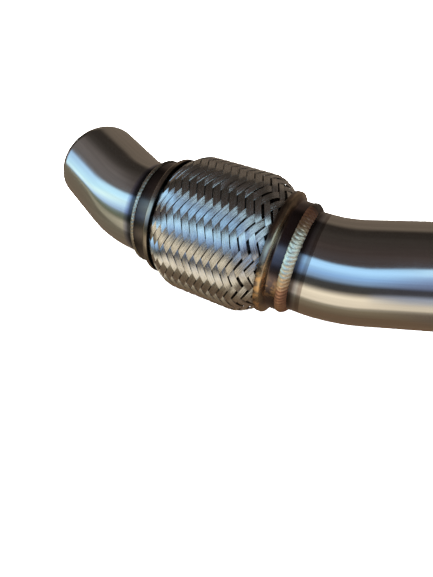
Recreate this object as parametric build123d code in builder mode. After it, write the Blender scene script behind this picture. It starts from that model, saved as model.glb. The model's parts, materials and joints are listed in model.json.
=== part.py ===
"""A section of stainless exhaust downpipe: two bent tubes joined by a braided flex coupling.

The coupling's axis runs along X, from the inlet to the outlet. The part lies on the floor as it would
come to rest, on its braid and on the rim of its outlet, with Z up.
"""

from build123d import *
import os
from math import copysign, cos, pi, radians, sin, sqrt

# Tube, in millimetres
TUBE_OD = 63.5
TUBE_WALL = 1.65
TUBE_RADIUS = TUBE_OD / 2
TUBE_INSERTION = 6.0
DEBURR = 0.4

INLET_LEAD = 5.5
INLET_BEND_RADIUS = TUBE_OD
INLET_BEND_ANGLE = 26.0
INLET_RUN = 41.5

OUTLET_LEAD = 9.0
OUTLET_BEND_RADIUS = 1.5 * TUBE_OD
OUTLET_BEND_ANGLE = 18.5
OUTLET_RUN = 140.0

# The inlet bends a little below the common plane of the bends, and the outlet a little above it
BEND_PLANE_TWIST = 6.0

# The coupling, whose sheets are nested outwards from the tube: liner, bellows, crushed braid, collar
FLEX_LENGTH = 101.6
HALF_FLEX = FLEX_LENGTH / 2
LINER_SHEET = 0.4
BELLOWS_SHEET = 0.6
CRUSHED_BRAID = 0.95
COLLAR_SHEET = 1.2
BELLOWS_CUFF_INNER = TUBE_RADIUS + LINER_SHEET
CRIMP_INNER = BELLOWS_CUFF_INNER + BELLOWS_SHEET
COLLAR_INNER = CRIMP_INNER + CRUSHED_BRAID
COLLAR_OUTER = COLLAR_INNER + COLLAR_SHEET

COLLAR_NECK = 9.0
COLLAR_FLARE = 2.0
COLLAR_DEPTH = 14.4
COLLAR_FOLD = 1.2
COLLAR_CHAMFER = 1.0
LIP_INNER = 38.3
LIP_ROUND = 0.5

# The band that the braid's ends are crushed into, which flares out with the collar
CRIMP_DEPTH = 11.8
CRIMP_TIP_OUTER = 37.6
CRIMP_TIP_INNER = 36.2
CRIMP_OUTER_BEND = COLLAR_NECK + 0.4
CRIMP_INNER_BEND = COLLAR_NECK + 0.2
CRIMP_OUTER_LAND = 0.65
CRIMP_INNER_LAND = 0.5

WELD_TOE = 4.2
WELD_CROWN_DEPTH = -1.4
WELD_CROWN_RADIUS = 33.8

# Convoluted bellows
CONVOLUTIONS = 10
CONVOLUTION_PITCH = 6.8
CREST_WIDTH = 3.4
CREST_RADIUS = 42.7
CONVOLUTION_FOLD = 1.2
BELLOWS_ROOT = BELLOWS_CUFF_INNER + BELLOWS_SHEET / 2
FLARE_RADIUS = 35.7
FLARE_START = 10.0
FLARE_FOOT = 11.9
FLARE_END = 14.6
FLARE_RETURN = 15.3
CREST_CLEARANCE = 2.0

# Interlocked liner, a wound strip whose turns hook into each other
LINER_TURNS = 14
LINER_PITCH = 5.2
LINER_BORE_LAND = 30.1
LINER_OUTER_LAND = 31.5
LINER_HOOK_TIP = 31.0
LINER_LIP_TIP = 30.7
LINER_WEB = 2.6
LINER_WIDTH = 6.0
LINER_FOLD = 0.3

# Braid: two families of flat ribbons, each over two of the other family and then under two
RIBBONS = 24
RIBBON_PITCH = 5.15
RIBBON_COVER = 0.8
RIBBON_THICKNESS = 0.4
RIBBON_LIFT = 0.5
CROSSING_STEP = 0.1
WEAVE_PHASE = -4.75
BRAID_RADIUS = 45.0
BRAID_END_RADIUS = 37.2
BRAID_END_DEPTH = 12.0

# The braid's shoulders start under the collars' lips, at this crossing counted from the middle
LIP_CROSSING = 14
SHOULDER_START = HALF_FLEX - LIP_CROSSING * RIBBON_PITCH / 2
SHOULDER_LENGTH = 16.25

# How the part lies: rolled about the coupling's axis until the rim of the outlet touches the floor.
# The braid's lowest facets lie a little inside its outer radius.
LYING_ROLL = 22.4
BRAID_OUTER = BRAID_RADIUS + RIBBON_LIFT + RIBBON_THICKNESS / 2
FACET_SAG = 0.13


def bend_side(twist):
    """The direction, square to the coupling's axis, that a tube bends towards once the part lies down."""
    angle = radians(twist - LYING_ROLL)
    return Vector(0, cos(angle), sin(angle))


def tube_end(start, ahead, side, lead, bend_radius, bend_angle, run):
    """The centre and direction of a bent tube's open end."""
    turn = radians(bend_angle)
    end_direction = ahead * cos(turn) + side * sin(turn)
    corner = start + ahead * (lead + bend_radius * sin(turn)) + side * (bend_radius * (1 - cos(turn)))
    return corner + end_direction * run, end_direction


def rim_reach(centre, direction, axis):
    """The lowest and highest value of a tube's rim along one axis."""
    half = TUBE_RADIUS * sqrt(1 - axis.dot(direction) ** 2)
    return axis.dot(centre) - half, axis.dot(centre) + half


INLET_SIDE = bend_side(-BEND_PLANE_TWIST)
OUTLET_SIDE = bend_side(BEND_PLANE_TWIST)
inlet_rim = tube_end(
    Vector(-HALF_FLEX, 0, 0), Vector(-1, 0, 0), INLET_SIDE,
    INLET_LEAD, INLET_BEND_RADIUS, INLET_BEND_ANGLE, INLET_RUN,
)
outlet_rim = tube_end(
    Vector(HALF_FLEX, 0, 0), Vector(1, 0, 0), OUTLET_SIDE,
    OUTLET_LEAD, OUTLET_BEND_RADIUS, OUTLET_BEND_ANGLE, OUTLET_RUN,
)
LENGTH_REACH = (rim_reach(*inlet_rim, Vector(1, 0, 0))[0], rim_reach(*outlet_rim, Vector(1, 0, 0))[1])
WIDTH_REACH = (-BRAID_OUTER, rim_reach(*outlet_rim, Vector(0, 1, 0))[1])

# The coupling's middle, placed so that the part's origin is the centre of the floor under it
FLEX_MIDDLE = Vector(-sum(LENGTH_REACH) / 2, -sum(WIDTH_REACH) / 2, BRAID_OUTER - FACET_SAG)
FLOW = Vector(1, 0, 0)
UP = Vector(0, 0, 1)
FLEX_AXIS = Axis(FLEX_MIDDLE, FLOW)
FLEX_PLANE = Plane(FLEX_MIDDLE, x_dir=UP, z_dir=FLOW)
INLET_FACE = FLEX_MIDDLE - FLOW * HALF_FLEX
OUTLET_FACE = FLEX_MIDDLE + FLOW * HALF_FLEX


def half_section(origin, inwards):
    """A plane through the coupling's axis: its x runs along inwards from origin, and its y is the radius."""
    return Plane(origin, x_dir=inwards, z_dir=inwards.cross(UP))


def bent_tube(label, face, ahead, side, lead, bend_radius, bend_angle, run):
    """A tube that starts inside the coupling, bends once towards side and ends in a plain square cut."""
    start = face - ahead * TUBE_INSERTION
    with BuildPart() as tube:
        with BuildLine(Plane(start, x_dir=ahead, z_dir=ahead.cross(side))) as route:
            straight = Line((0, 0), (TUBE_INSERTION + lead, 0))
            bend = JernArc(straight @ 1, straight % 1, radius=bend_radius, arc_size=bend_angle)
            Line(bend @ 1, bend @ 1 + (bend % 1) * run)
        with BuildSketch(Plane(start, z_dir=ahead)):
            Circle(TUBE_RADIUS)
            Circle(TUBE_RADIUS - TUBE_WALL, mode=Mode.SUBTRACT)
        sweep(path=route.line)
        open_end = tube.faces().filter_by(GeomType.PLANE).sort_by_distance(start)[-1]
        chamfer(open_end.edges(), DEBURR)
    tube.part.label = label
    return tube.part


def weld_bead(label, face, inwards):
    """The fillet weld that joins a tube to the collar and seals the coupling's nested sheets."""
    with BuildPart() as weld:
        with BuildSketch(half_section(face, inwards)):
            with BuildLine():
                toe = (-WELD_TOE, TUBE_RADIUS)
                edge = (COLLAR_CHAMFER, COLLAR_OUTER)
                ThreePointArc(toe, (WELD_CROWN_DEPTH, WELD_CROWN_RADIUS), edge)
                Polyline(edge, (0, COLLAR_OUTER - COLLAR_CHAMFER), (0, TUBE_RADIUS), toe)
            make_face()
        revolve(axis=FLEX_AXIS)
    weld.part.label = label
    return weld.part


def collar(label, face, inwards):
    """A pressed collar: a neck round the sheets' ends, flared out to a lip that holds the braid."""
    neck_line = COLLAR_INNER + COLLAR_SHEET / 2
    lip_line = LIP_INNER + COLLAR_SHEET / 2
    with BuildPart() as pressing:
        with BuildSketch(half_section(face, inwards)) as profile:
            with BuildLine():
                FilletPolyline(
                    (0, neck_line),
                    (COLLAR_NECK, neck_line),
                    (COLLAR_NECK + COLLAR_FLARE, lip_line),
                    (COLLAR_DEPTH, lip_line),
                    radius=COLLAR_FOLD,
                )
            trace(line_width=COLLAR_SHEET)
            corners = profile.vertices().group_by(Axis.X)
            chamfer(corners[0].sort_by(Axis.Y)[-1], COLLAR_CHAMFER)
            fillet(corners[-1], LIP_ROUND)
        revolve(axis=FLEX_AXIS)
    pressing.part.label = label
    return pressing.part


def crimp(label, face, inwards):
    """The end of the braid, crushed solid between the bellows and the collar."""
    with BuildPart() as ring:
        with BuildSketch(half_section(face, inwards)):
            with BuildLine():
                Polyline(
                    (0, CRIMP_INNER),
                    (0, COLLAR_INNER),
                    (CRIMP_OUTER_BEND, COLLAR_INNER),
                    (CRIMP_DEPTH - CRIMP_OUTER_LAND, CRIMP_TIP_OUTER),
                    (CRIMP_DEPTH, CRIMP_TIP_OUTER),
                    (CRIMP_DEPTH, CRIMP_TIP_INNER),
                    (CRIMP_DEPTH - CRIMP_INNER_LAND, CRIMP_TIP_INNER),
                    (CRIMP_INNER_BEND, CRIMP_INNER),
                    close=True,
                )
            make_face()
        revolve(axis=FLEX_AXIS)
    ring.part.label = label
    return ring.part


def braid_radius(x):
    """The radius of the braid's middle surface at a distance x from the coupling's middle."""
    along_shoulder = (abs(x) - HALF_FLEX + SHOULDER_START + SHOULDER_LENGTH) / SHOULDER_LENGTH
    along_shoulder = min(max(along_shoulder, 0), 1)
    rise = BRAID_RADIUS - BRAID_END_RADIUS
    return BRAID_END_RADIUS + rise * cos(along_shoulder * pi / 2)


def crest_radius(x):
    """The radius of the convolution at x, which stays clear of the braid over its whole width."""
    under_braid = braid_radius(abs(x) + CREST_WIDTH / 2) - CREST_CLEARANCE
    return min(CREST_RADIUS, under_braid)


with BuildPart() as bellows:
    with BuildSketch(half_section(FLEX_MIDDLE, FLOW)):
        with BuildLine():
            wave = []
            for turn in range(CONVOLUTIONS):
                centre = (turn - (CONVOLUTIONS - 1) / 2) * CONVOLUTION_PITCH
                crest = crest_radius(centre)
                wave += [
                    (centre - CREST_WIDTH / 2, BELLOWS_ROOT),
                    (centre - CREST_WIDTH / 2, crest),
                    (centre + CREST_WIDTH / 2, crest),
                    (centre + CREST_WIDTH / 2, BELLOWS_ROOT),
                ]
            cuff = [
                (-HALF_FLEX, BELLOWS_ROOT),
                (-HALF_FLEX + FLARE_START, BELLOWS_ROOT),
                (-HALF_FLEX + FLARE_FOOT, FLARE_RADIUS),
                (-HALF_FLEX + FLARE_END, FLARE_RADIUS),
                (-HALF_FLEX + FLARE_RETURN, BELLOWS_ROOT),
            ]
            far_cuff = [(-x, radius) for x, radius in reversed(cuff)]
            FilletPolyline(*cuff, *wave, *far_cuff, radius=CONVOLUTION_FOLD)
        trace(line_width=BELLOWS_SHEET)
    revolve(axis=FLEX_AXIS)
bellows.part.label = "bellows"

with BuildPart() as liner:
    first_turn = -(LINER_TURNS - 1) / 2 * LINER_PITCH - LINER_WIDTH / 2
    cuff_line = TUBE_RADIUS + LINER_SHEET / 2
    for turn in range(LINER_TURNS):
        x = first_turn + turn * LINER_PITCH
        with BuildSketch(half_section(FLEX_MIDDLE, FLOW)):
            with BuildLine():
                FilletPolyline(
                    (x, LINER_HOOK_TIP),
                    (x, LINER_BORE_LAND),
                    (x + LINER_WEB, LINER_BORE_LAND),
                    (x + LINER_WEB, LINER_OUTER_LAND),
                    (x + LINER_WIDTH, LINER_OUTER_LAND),
                    (x + LINER_WIDTH, LINER_LIP_TIP),
                    radius=LINER_FOLD,
                )
            trace(line_width=LINER_SHEET)
    inlet_hook = first_turn - LINER_PITCH + LINER_WIDTH
    outlet_hook = first_turn + LINER_TURNS * LINER_PITCH
    with BuildSketch(half_section(FLEX_MIDDLE, FLOW)):
        with BuildLine():
            FilletPolyline(
                (-HALF_FLEX, cuff_line),
                (inlet_hook - LINER_WIDTH, cuff_line),
                (inlet_hook - LINER_WEB, LINER_OUTER_LAND),
                (inlet_hook, LINER_OUTER_LAND),
                (inlet_hook, LINER_LIP_TIP),
                radius=LINER_FOLD,
            )
        trace(line_width=LINER_SHEET)
        with BuildLine():
            FilletPolyline(
                (outlet_hook, LINER_HOOK_TIP),
                (outlet_hook, LINER_BORE_LAND),
                (outlet_hook + LINER_WEB, LINER_BORE_LAND),
                (outlet_hook + LINER_WIDTH, cuff_line),
                (HALF_FLEX, cuff_line),
                radius=LINER_FOLD,
            )
        trace(line_width=LINER_SHEET)
    revolve(axis=FLEX_AXIS)
liner.part.label = "liner"


def ribbon_stations(hand):
    """The places along a ribbon where a section is cut, counted in crossings, and whether it is cut square.

    A ribbon changes from one level to the other in a gap between two ribbons of the other family. Its
    sections run along that gap. Those at its ends and at the foot of a shoulder are cut square instead.
    """
    end = (HALF_FLEX - BRAID_END_DEPTH) / (RIBBON_PITCH / 2)
    stations = [(-end, True), (end, True)]
    beside_change = RIBBON_COVER / 2 + 1.5 * CROSSING_STEP
    for change in [2 * k - hand / 2 for k in range(-RIBBONS, RIBBONS)]:
        if abs(change) > end - beside_change:
            continue
        stations += [(change - CROSSING_STEP, False), (change + CROSSING_STEP, False)]
        if abs(change) > LIP_CROSSING:
            stations.append((change - copysign(1, change), False))
            stations.append((change - copysign(beside_change, change), True))
        elif abs(change) > LIP_CROSSING - 1:
            stations.append((change + copysign(beside_change, change), True))
    return sorted(stations)


def ribbon_sections(hand, goes_over_first):
    """The corners of a ribbon's cross-sections, in the coupling's own frame with Z along its axis.

    A right-handed ribbon (hand 1) turns with its advance and a left-handed one (hand -1) against it.
    """
    sections = []
    for count, is_square in ribbon_stations(hand):
        level = (count + hand / 2) // 2
        is_over = (level % 2 == 0) == goes_over_first
        lift = RIBBON_LIFT if is_over else -RIBBON_LIFT
        middle_angle = hand * count * pi / RIBBONS
        outward = Vector(cos(middle_angle), sin(middle_angle), 0)
        edges = []
        for share in (-RIBBON_COVER / 2, RIBBON_COVER / 2):
            if is_square:
                along = count * RIBBON_PITCH / 2
                angle = middle_angle + 2 * share * pi / RIBBONS
            else:
                along = (count - hand * share) * RIBBON_PITCH / 2
                angle = middle_angle + share * pi / RIBBONS
            radius = braid_radius(along)
            edges.append(Vector(radius * cos(angle), radius * sin(angle), along))
        inner, outer = lift - RIBBON_THICKNESS / 2, lift + RIBBON_THICKNESS / 2
        sections.append(
            [
                edges[0] + outward * inner,
                edges[1] + outward * inner,
                edges[1] + outward * outer,
                edges[0] + outward * outer,
            ]
        )
    return sections


def ribbon(hand, goes_over_first):
    """One flat ribbon of wires as a solid of plane facets, folded along its shorter diagonals."""
    sections = ribbon_sections(hand, goes_over_first)
    triangles = []
    for near, far in zip(sections, sections[1:]):
        for side in range(4):
            other = (side + 1) % 4
            corners = (near[side], near[other], far[other], far[side])
            if (hand < 0) == (side != 2):
                a, b, c, d = corners
            else:
                b, c, d, a = corners
            triangles += [(a, b, c), (a, c, d)]
    for section in (sections[0], sections[-1]):
        triangles += [(section[0], section[1], section[2]), (section[0], section[2], section[3])]
    faces = [Face(Wire.make_polygon(triangle, close=True)) for triangle in triangles]
    return Solid(Shell(faces))


def braid_family(label, hand):
    """All ribbons of one hand. Neighbours change levels at the same counts, one up where the other is down."""
    with BuildPart(FLEX_PLANE) as family:
        with PolarLocations(0, RIBBONS // 2, start_angle=WEAVE_PHASE):
            add(ribbon(hand, goes_over_first=False))
        with PolarLocations(0, RIBBONS // 2, start_angle=WEAVE_PHASE + 360 / RIBBONS):
            add(ribbon(hand, goes_over_first=True))
    family.part.label = label
    return family.part


os.makedirs("parts", exist_ok=True)

pieces = [
    bent_tube(
        "inlet_pipe", INLET_FACE, -FLOW, INLET_SIDE,
        INLET_LEAD, INLET_BEND_RADIUS, INLET_BEND_ANGLE, INLET_RUN,
    ),
    bent_tube(
        "outlet_pipe", OUTLET_FACE, FLOW, OUTLET_SIDE,
        OUTLET_LEAD, OUTLET_BEND_RADIUS, OUTLET_BEND_ANGLE, OUTLET_RUN,
    ),
    weld_bead("inlet_weld", INLET_FACE, FLOW),
    weld_bead("outlet_weld", OUTLET_FACE, -FLOW),
    collar("inlet_collar", INLET_FACE, FLOW),
    collar("outlet_collar", OUTLET_FACE, -FLOW),
    crimp("inlet_crimp", INLET_FACE, FLOW),
    crimp("outlet_crimp", OUTLET_FACE, -FLOW),
    bellows.part,
    liner.part,
    braid_family("braid_left_hand", -1),
    braid_family("braid_right_hand", 1),
]
for piece in pieces:
    export_step(piece, f"parts/{piece.label}.step")
    print(piece.label, len(piece.solids()), round(piece.volume), piece.is_valid)
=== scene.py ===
"""Blender scene of an exhaust downpipe: two bent stainless tubes joined by a braided flexible coupling.

Every piece is made in the row frame. Sizes are in millimetres until a mesh is written, in metres.
"""

from __future__ import annotations

import json
import logging
import math
import random
from dataclasses import dataclass
from enum import Enum
from typing import Any, Callable, Sequence

import bmesh
import bpy
from mathutils import Matrix, Vector

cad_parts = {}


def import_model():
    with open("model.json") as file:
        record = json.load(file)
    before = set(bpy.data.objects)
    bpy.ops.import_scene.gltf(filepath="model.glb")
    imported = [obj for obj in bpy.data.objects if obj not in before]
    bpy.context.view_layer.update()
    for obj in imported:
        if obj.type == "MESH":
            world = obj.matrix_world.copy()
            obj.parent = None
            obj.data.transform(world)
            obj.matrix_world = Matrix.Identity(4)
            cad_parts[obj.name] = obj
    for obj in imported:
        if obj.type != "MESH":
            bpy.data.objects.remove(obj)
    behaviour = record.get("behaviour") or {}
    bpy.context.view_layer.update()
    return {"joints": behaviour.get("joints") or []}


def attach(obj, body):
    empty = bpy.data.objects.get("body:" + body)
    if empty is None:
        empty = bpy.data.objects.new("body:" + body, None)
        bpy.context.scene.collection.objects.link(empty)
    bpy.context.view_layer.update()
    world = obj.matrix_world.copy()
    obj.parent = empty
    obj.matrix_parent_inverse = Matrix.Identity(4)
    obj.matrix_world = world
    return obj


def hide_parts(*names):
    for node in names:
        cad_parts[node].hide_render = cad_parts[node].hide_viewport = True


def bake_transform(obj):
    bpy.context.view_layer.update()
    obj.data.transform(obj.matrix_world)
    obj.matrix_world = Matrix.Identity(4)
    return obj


LOG = logging.getLogger("downpipe")

MM = 0.001
FULL_TURN = 2 * math.pi
BLACK = (0.0, 0.0, 0.0)
SHADOW = (0.02, 0.018, 0.017)

Pair = tuple[float, float]
Triple = tuple[float, float, float]
Colour = Triple
Stops = tuple[tuple[float, Colour], ...]
Outline = Sequence[Pair]
Inputs = dict[int | str, Any]
Placer = Callable[[float, float, float], Vector]


class Signal:
    """An output socket that takes part in arithmetic. Each operation adds one Math node."""

    def __init__(self, graph: Graph, socket: bpy.types.NodeSocket) -> None:
        """Wraps a socket.

        Args:
            graph: the node tree that the socket belongs to.
            socket: the output socket.
        """
        self.graph = graph
        self.socket = socket

    def math(self, operation: str, *values: Signal | float) -> Signal:
        """Adds a Math node.

        Args:
            operation: the Math node's operation.
            values: its inputs, in order.

        Returns:
            The node's result.
        """
        return self.graph.add("ShaderNodeMath", {"operation": operation}, dict(enumerate(values)))[0]

    def __add__(self, other: Signal | float) -> Signal:
        """self + other."""
        return self.math("ADD", self, other)

    def __radd__(self, other: float) -> Signal:
        """other + self."""
        return self.math("ADD", other, self)

    def __sub__(self, other: Signal | float) -> Signal:
        """self - other."""
        return self.math("SUBTRACT", self, other)

    def __rsub__(self, other: float) -> Signal:
        """other - self."""
        return self.math("SUBTRACT", other, self)

    def __mul__(self, other: Signal | float) -> Signal:
        """self * other."""
        return self.math("MULTIPLY", self, other)

    def __rmul__(self, other: float) -> Signal:
        """other * self."""
        return self.math("MULTIPLY", other, self)

    def __truediv__(self, other: Signal | float) -> Signal:
        """self / other."""
        return self.math("DIVIDE", self, other)

    def __mod__(self, other: Signal | float) -> Signal:
        """self modulo other, never negative."""
        return self.math("FLOORED_MODULO", self, other)

    def __neg__(self) -> Signal:
        """Minus self."""
        return self.math("MULTIPLY", self, -1.0)

    def __abs__(self) -> Signal:
        """self without its sign."""
        return self.math("ABSOLUTE", self)

    def sin(self) -> Signal:
        """The sine of self, in radians."""
        return self.math("SINE", self)

    def cos(self) -> Signal:
        """The cosine of self, in radians."""
        return self.math("COSINE", self)

    def tanh(self) -> Signal:
        """The hyperbolic tangent of self."""
        return self.math("TANH", self)

    def floor(self) -> Signal:
        """The largest whole number that isn't above self."""
        return self.math("FLOOR", self)

    def limit(self, low: float = 0.0, high: float = 1.0) -> Signal:
        """self kept between low and high."""
        return self.math("MINIMUM", self.math("MAXIMUM", self, low), high)

    def ease(self, start: float, end: float) -> Signal:
        """Rises smoothly from 0 where self is start to 1 where it is end."""
        inputs = {"Value": self, "From Min": start, "From Max": end}
        return self.graph.add("ShaderNodeMapRange", {"interpolation_type": "SMOOTHSTEP"}, inputs)[0]


class Outputs:
    """The output sockets of a node that was just added."""

    def __init__(self, graph: Graph, node: bpy.types.Node) -> None:
        """Wraps a node.

        Args:
            graph: the node tree that the node is in.
            node: the node.
        """
        self.graph = graph
        self.node = node

    def __getitem__(self, key: int | str) -> Signal:
        """The output socket of that name or number."""
        return Signal(self.graph, self.node.outputs[key])


class Graph:
    """A node tree that is written as Python expressions."""

    def __init__(self, tree: bpy.types.NodeTree) -> None:
        """Empties the tree.

        Args:
            tree: the tree to build in.
        """
        self.tree = tree
        tree.nodes.clear()

    def add(
        self, kind: str, settings: dict[str, Any] | None = None, inputs: Inputs | None = None
    ) -> Outputs:
        """Adds a node, with its settings before its sockets.

        Args:
            kind: the node's type.
            settings: its properties; stops fills a colour ramp.
            inputs: values or signals by the socket's name or number.

        Returns:
            The node's outputs.
        """
        node = self.tree.nodes.new(kind)
        for name, value in (settings or {}).items():
            if name == "stops":
                self._fill_ramp(node.color_ramp, value)
            else:
                setattr(node, name, value)
        for key, value in (inputs or {}).items():
            if isinstance(value, Signal):
                self.tree.links.new(value.socket, node.inputs[key])
            else:
                node.inputs[key].default_value = value
        return Outputs(self, node)

    @staticmethod
    def _fill_ramp(ramp: bpy.types.ColorRamp, stops: Sequence[tuple[float, Colour]]) -> None:
        """Puts the stops, in rising order, into a colour ramp."""
        while len(ramp.elements) > 1:
            ramp.elements.remove(ramp.elements[-1])
        ramp.elements[0].position = stops[0][0]
        ramp.elements[0].color = (*stops[0][1], 1.0)
        for position, colour in stops[1:]:
            ramp.elements.new(position).color = (*colour, 1.0)

    def ramp(self, factor: Signal, stops: Sequence[tuple[float, Colour]]) -> Signal:
        """The colour that a ramp has at factor."""
        return self.add("ShaderNodeValToRGB", {"stops": stops}, {"Fac": factor})["Color"]

    def blend(self, factor: Signal | float, first: Any, second: Any) -> Signal:
        """Mixes two colours.

        Args:
            factor: the second colour's share.
            first: a colour or a signal.
            second: a colour or a signal.

        Returns:
            The mixed colour.
        """
        colours = [value if isinstance(value, Signal) else (*value, 1.0) for value in (first, second)]
        inputs = {0: factor, 6: colours[0], 7: colours[1]}
        return self.add("ShaderNodeMix", {"data_type": "RGBA"}, inputs)[2]

    def noise(self, place: Signal, scale: float, detail: float = 3.0) -> Signal:
        """Smooth noise from about 0.25 to 0.75, at that many lumps a metre."""
        inputs = {"Vector": place, "Scale": scale, "Detail": detail, "Roughness": 0.55}
        return self.add("ShaderNodeTexNoise", None, inputs)[0]

    def vector(self, operation: str, *values: Any) -> Outputs:
        """The outputs of a Vector Math node with that operation and those inputs."""
        return self.add("ShaderNodeVectorMath", {"operation": operation}, dict(enumerate(values)))

    def stretch(self, place: Signal, factors: Triple) -> Signal:
        """A place with each of its coordinates multiplied."""
        return self.vector("MULTIPLY", place, factors)[0]

    def join(self, *parts: Signal | float) -> Signal:
        """The place that has those three coordinates."""
        return self.add("ShaderNodeCombineXYZ", None, dict(enumerate(parts)))[0]

    def split(self, place: Signal) -> tuple[Signal, Signal, Signal]:
        """The three coordinates of a place."""
        parts = self.add("ShaderNodeSeparateXYZ", None, {0: place})
        return parts[0], parts[1], parts[2]

    def attribute(self, name: str) -> Outputs:
        """The outputs of a mesh attribute."""
        return self.add("ShaderNodeAttribute", {"attribute_name": name})


def surface_material(name: str, dress: Callable[[Graph], Inputs]) -> bpy.types.Material:
    """A material with one surface shader.

    Args:
        name: the material's name.
        dress: gives the shader's inputs when it is given the material's nodes.

    Returns:
        A new material.
    """
    material = bpy.data.materials.new(name)
    material.use_nodes = True
    graph = Graph(material.node_tree)
    shader = graph.add("ShaderNodeBsdfPrincipled", None, dress(graph))[0]
    graph.add("ShaderNodeOutputMaterial", None, {"Surface": shader})
    return material


class Heat(Enum):
    """Where the colours that welding leaves on steel come from."""

    NONE = "none"
    FROM_WELD = "from_weld"
    ON_BEAD = "on_bead"


OUTLET_TUBE_TINT: Stops = (
    (0.00, (0.62, 0.605, 0.58)),
    (0.05, (0.34, 0.31, 0.29)),
    (0.22, (0.29, 0.26, 0.25)),
    (0.40, (0.36, 0.36, 0.37)),
    (0.60, (0.24, 0.23, 0.25)),
    (0.80, (0.09, 0.075, 0.075)),
    (1.00, (0.06, 0.05, 0.05)),
)
INLET_TUBE_TINT: Stops = (
    (0.00, (0.62, 0.605, 0.58)),
    (0.12, (0.50, 0.49, 0.52)),
    (0.40, (0.26, 0.26, 0.33)),
    (0.62, (0.08, 0.08, 0.10)),
    (1.00, (0.05, 0.05, 0.055)),
)
OUTLET_COLLAR_TINT: Stops = (
    (0.00, (0.18, 0.13, 0.10)),
    (0.28, (0.17, 0.125, 0.10)),
    (0.35, (0.42, 0.32, 0.22)),
    (0.46, (0.50, 0.38, 0.25)),
    (0.54, (0.19, 0.13, 0.10)),
    (0.62, (0.13, 0.10, 0.105)),
    (0.80, (0.12, 0.09, 0.09)),
    (1.00, (0.06, 0.05, 0.05)),
)
INLET_COLLAR_TINT: Stops = (
    (0.00, (0.40, 0.34, 0.28)),
    (0.45, (0.36, 0.30, 0.25)),
    (0.54, (0.17, 0.14, 0.12)),
    (0.80, (0.12, 0.10, 0.095)),
    (1.00, (0.06, 0.05, 0.05)),
)
OUTLET_BEAD_TINT: Stops = (
    (0.00, (0.96, 0.92, 0.72)),
    (0.30, (0.80, 0.58, 0.36)),
    (0.60, (0.50, 0.27, 0.18)),
    (1.00, (0.16, 0.14, 0.12)),
)
INLET_BEAD_TINT: Stops = (
    (0.00, (0.66, 0.62, 0.52)),
    (0.45, (0.40, 0.35, 0.27)),
    (1.00, (0.12, 0.10, 0.085)),
)
SHEET_TINT: Stops = ((0.0, (0.52, 0.51, 0.49)), (0.4, (0.44, 0.42, 0.39)))
# Near black for the bellows: painted shade, as the bellows lies in the shadow under the braid.
SHADED_BELLOWS_TINT: Stops = ((0.0, (0.06, 0.055, 0.05)), (0.4, (0.09, 0.08, 0.07)))
CRUSHED_TINT: Stops = ((0.0, (0.34, 0.31, 0.28)), (0.4, (0.26, 0.23, 0.20)))


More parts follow.
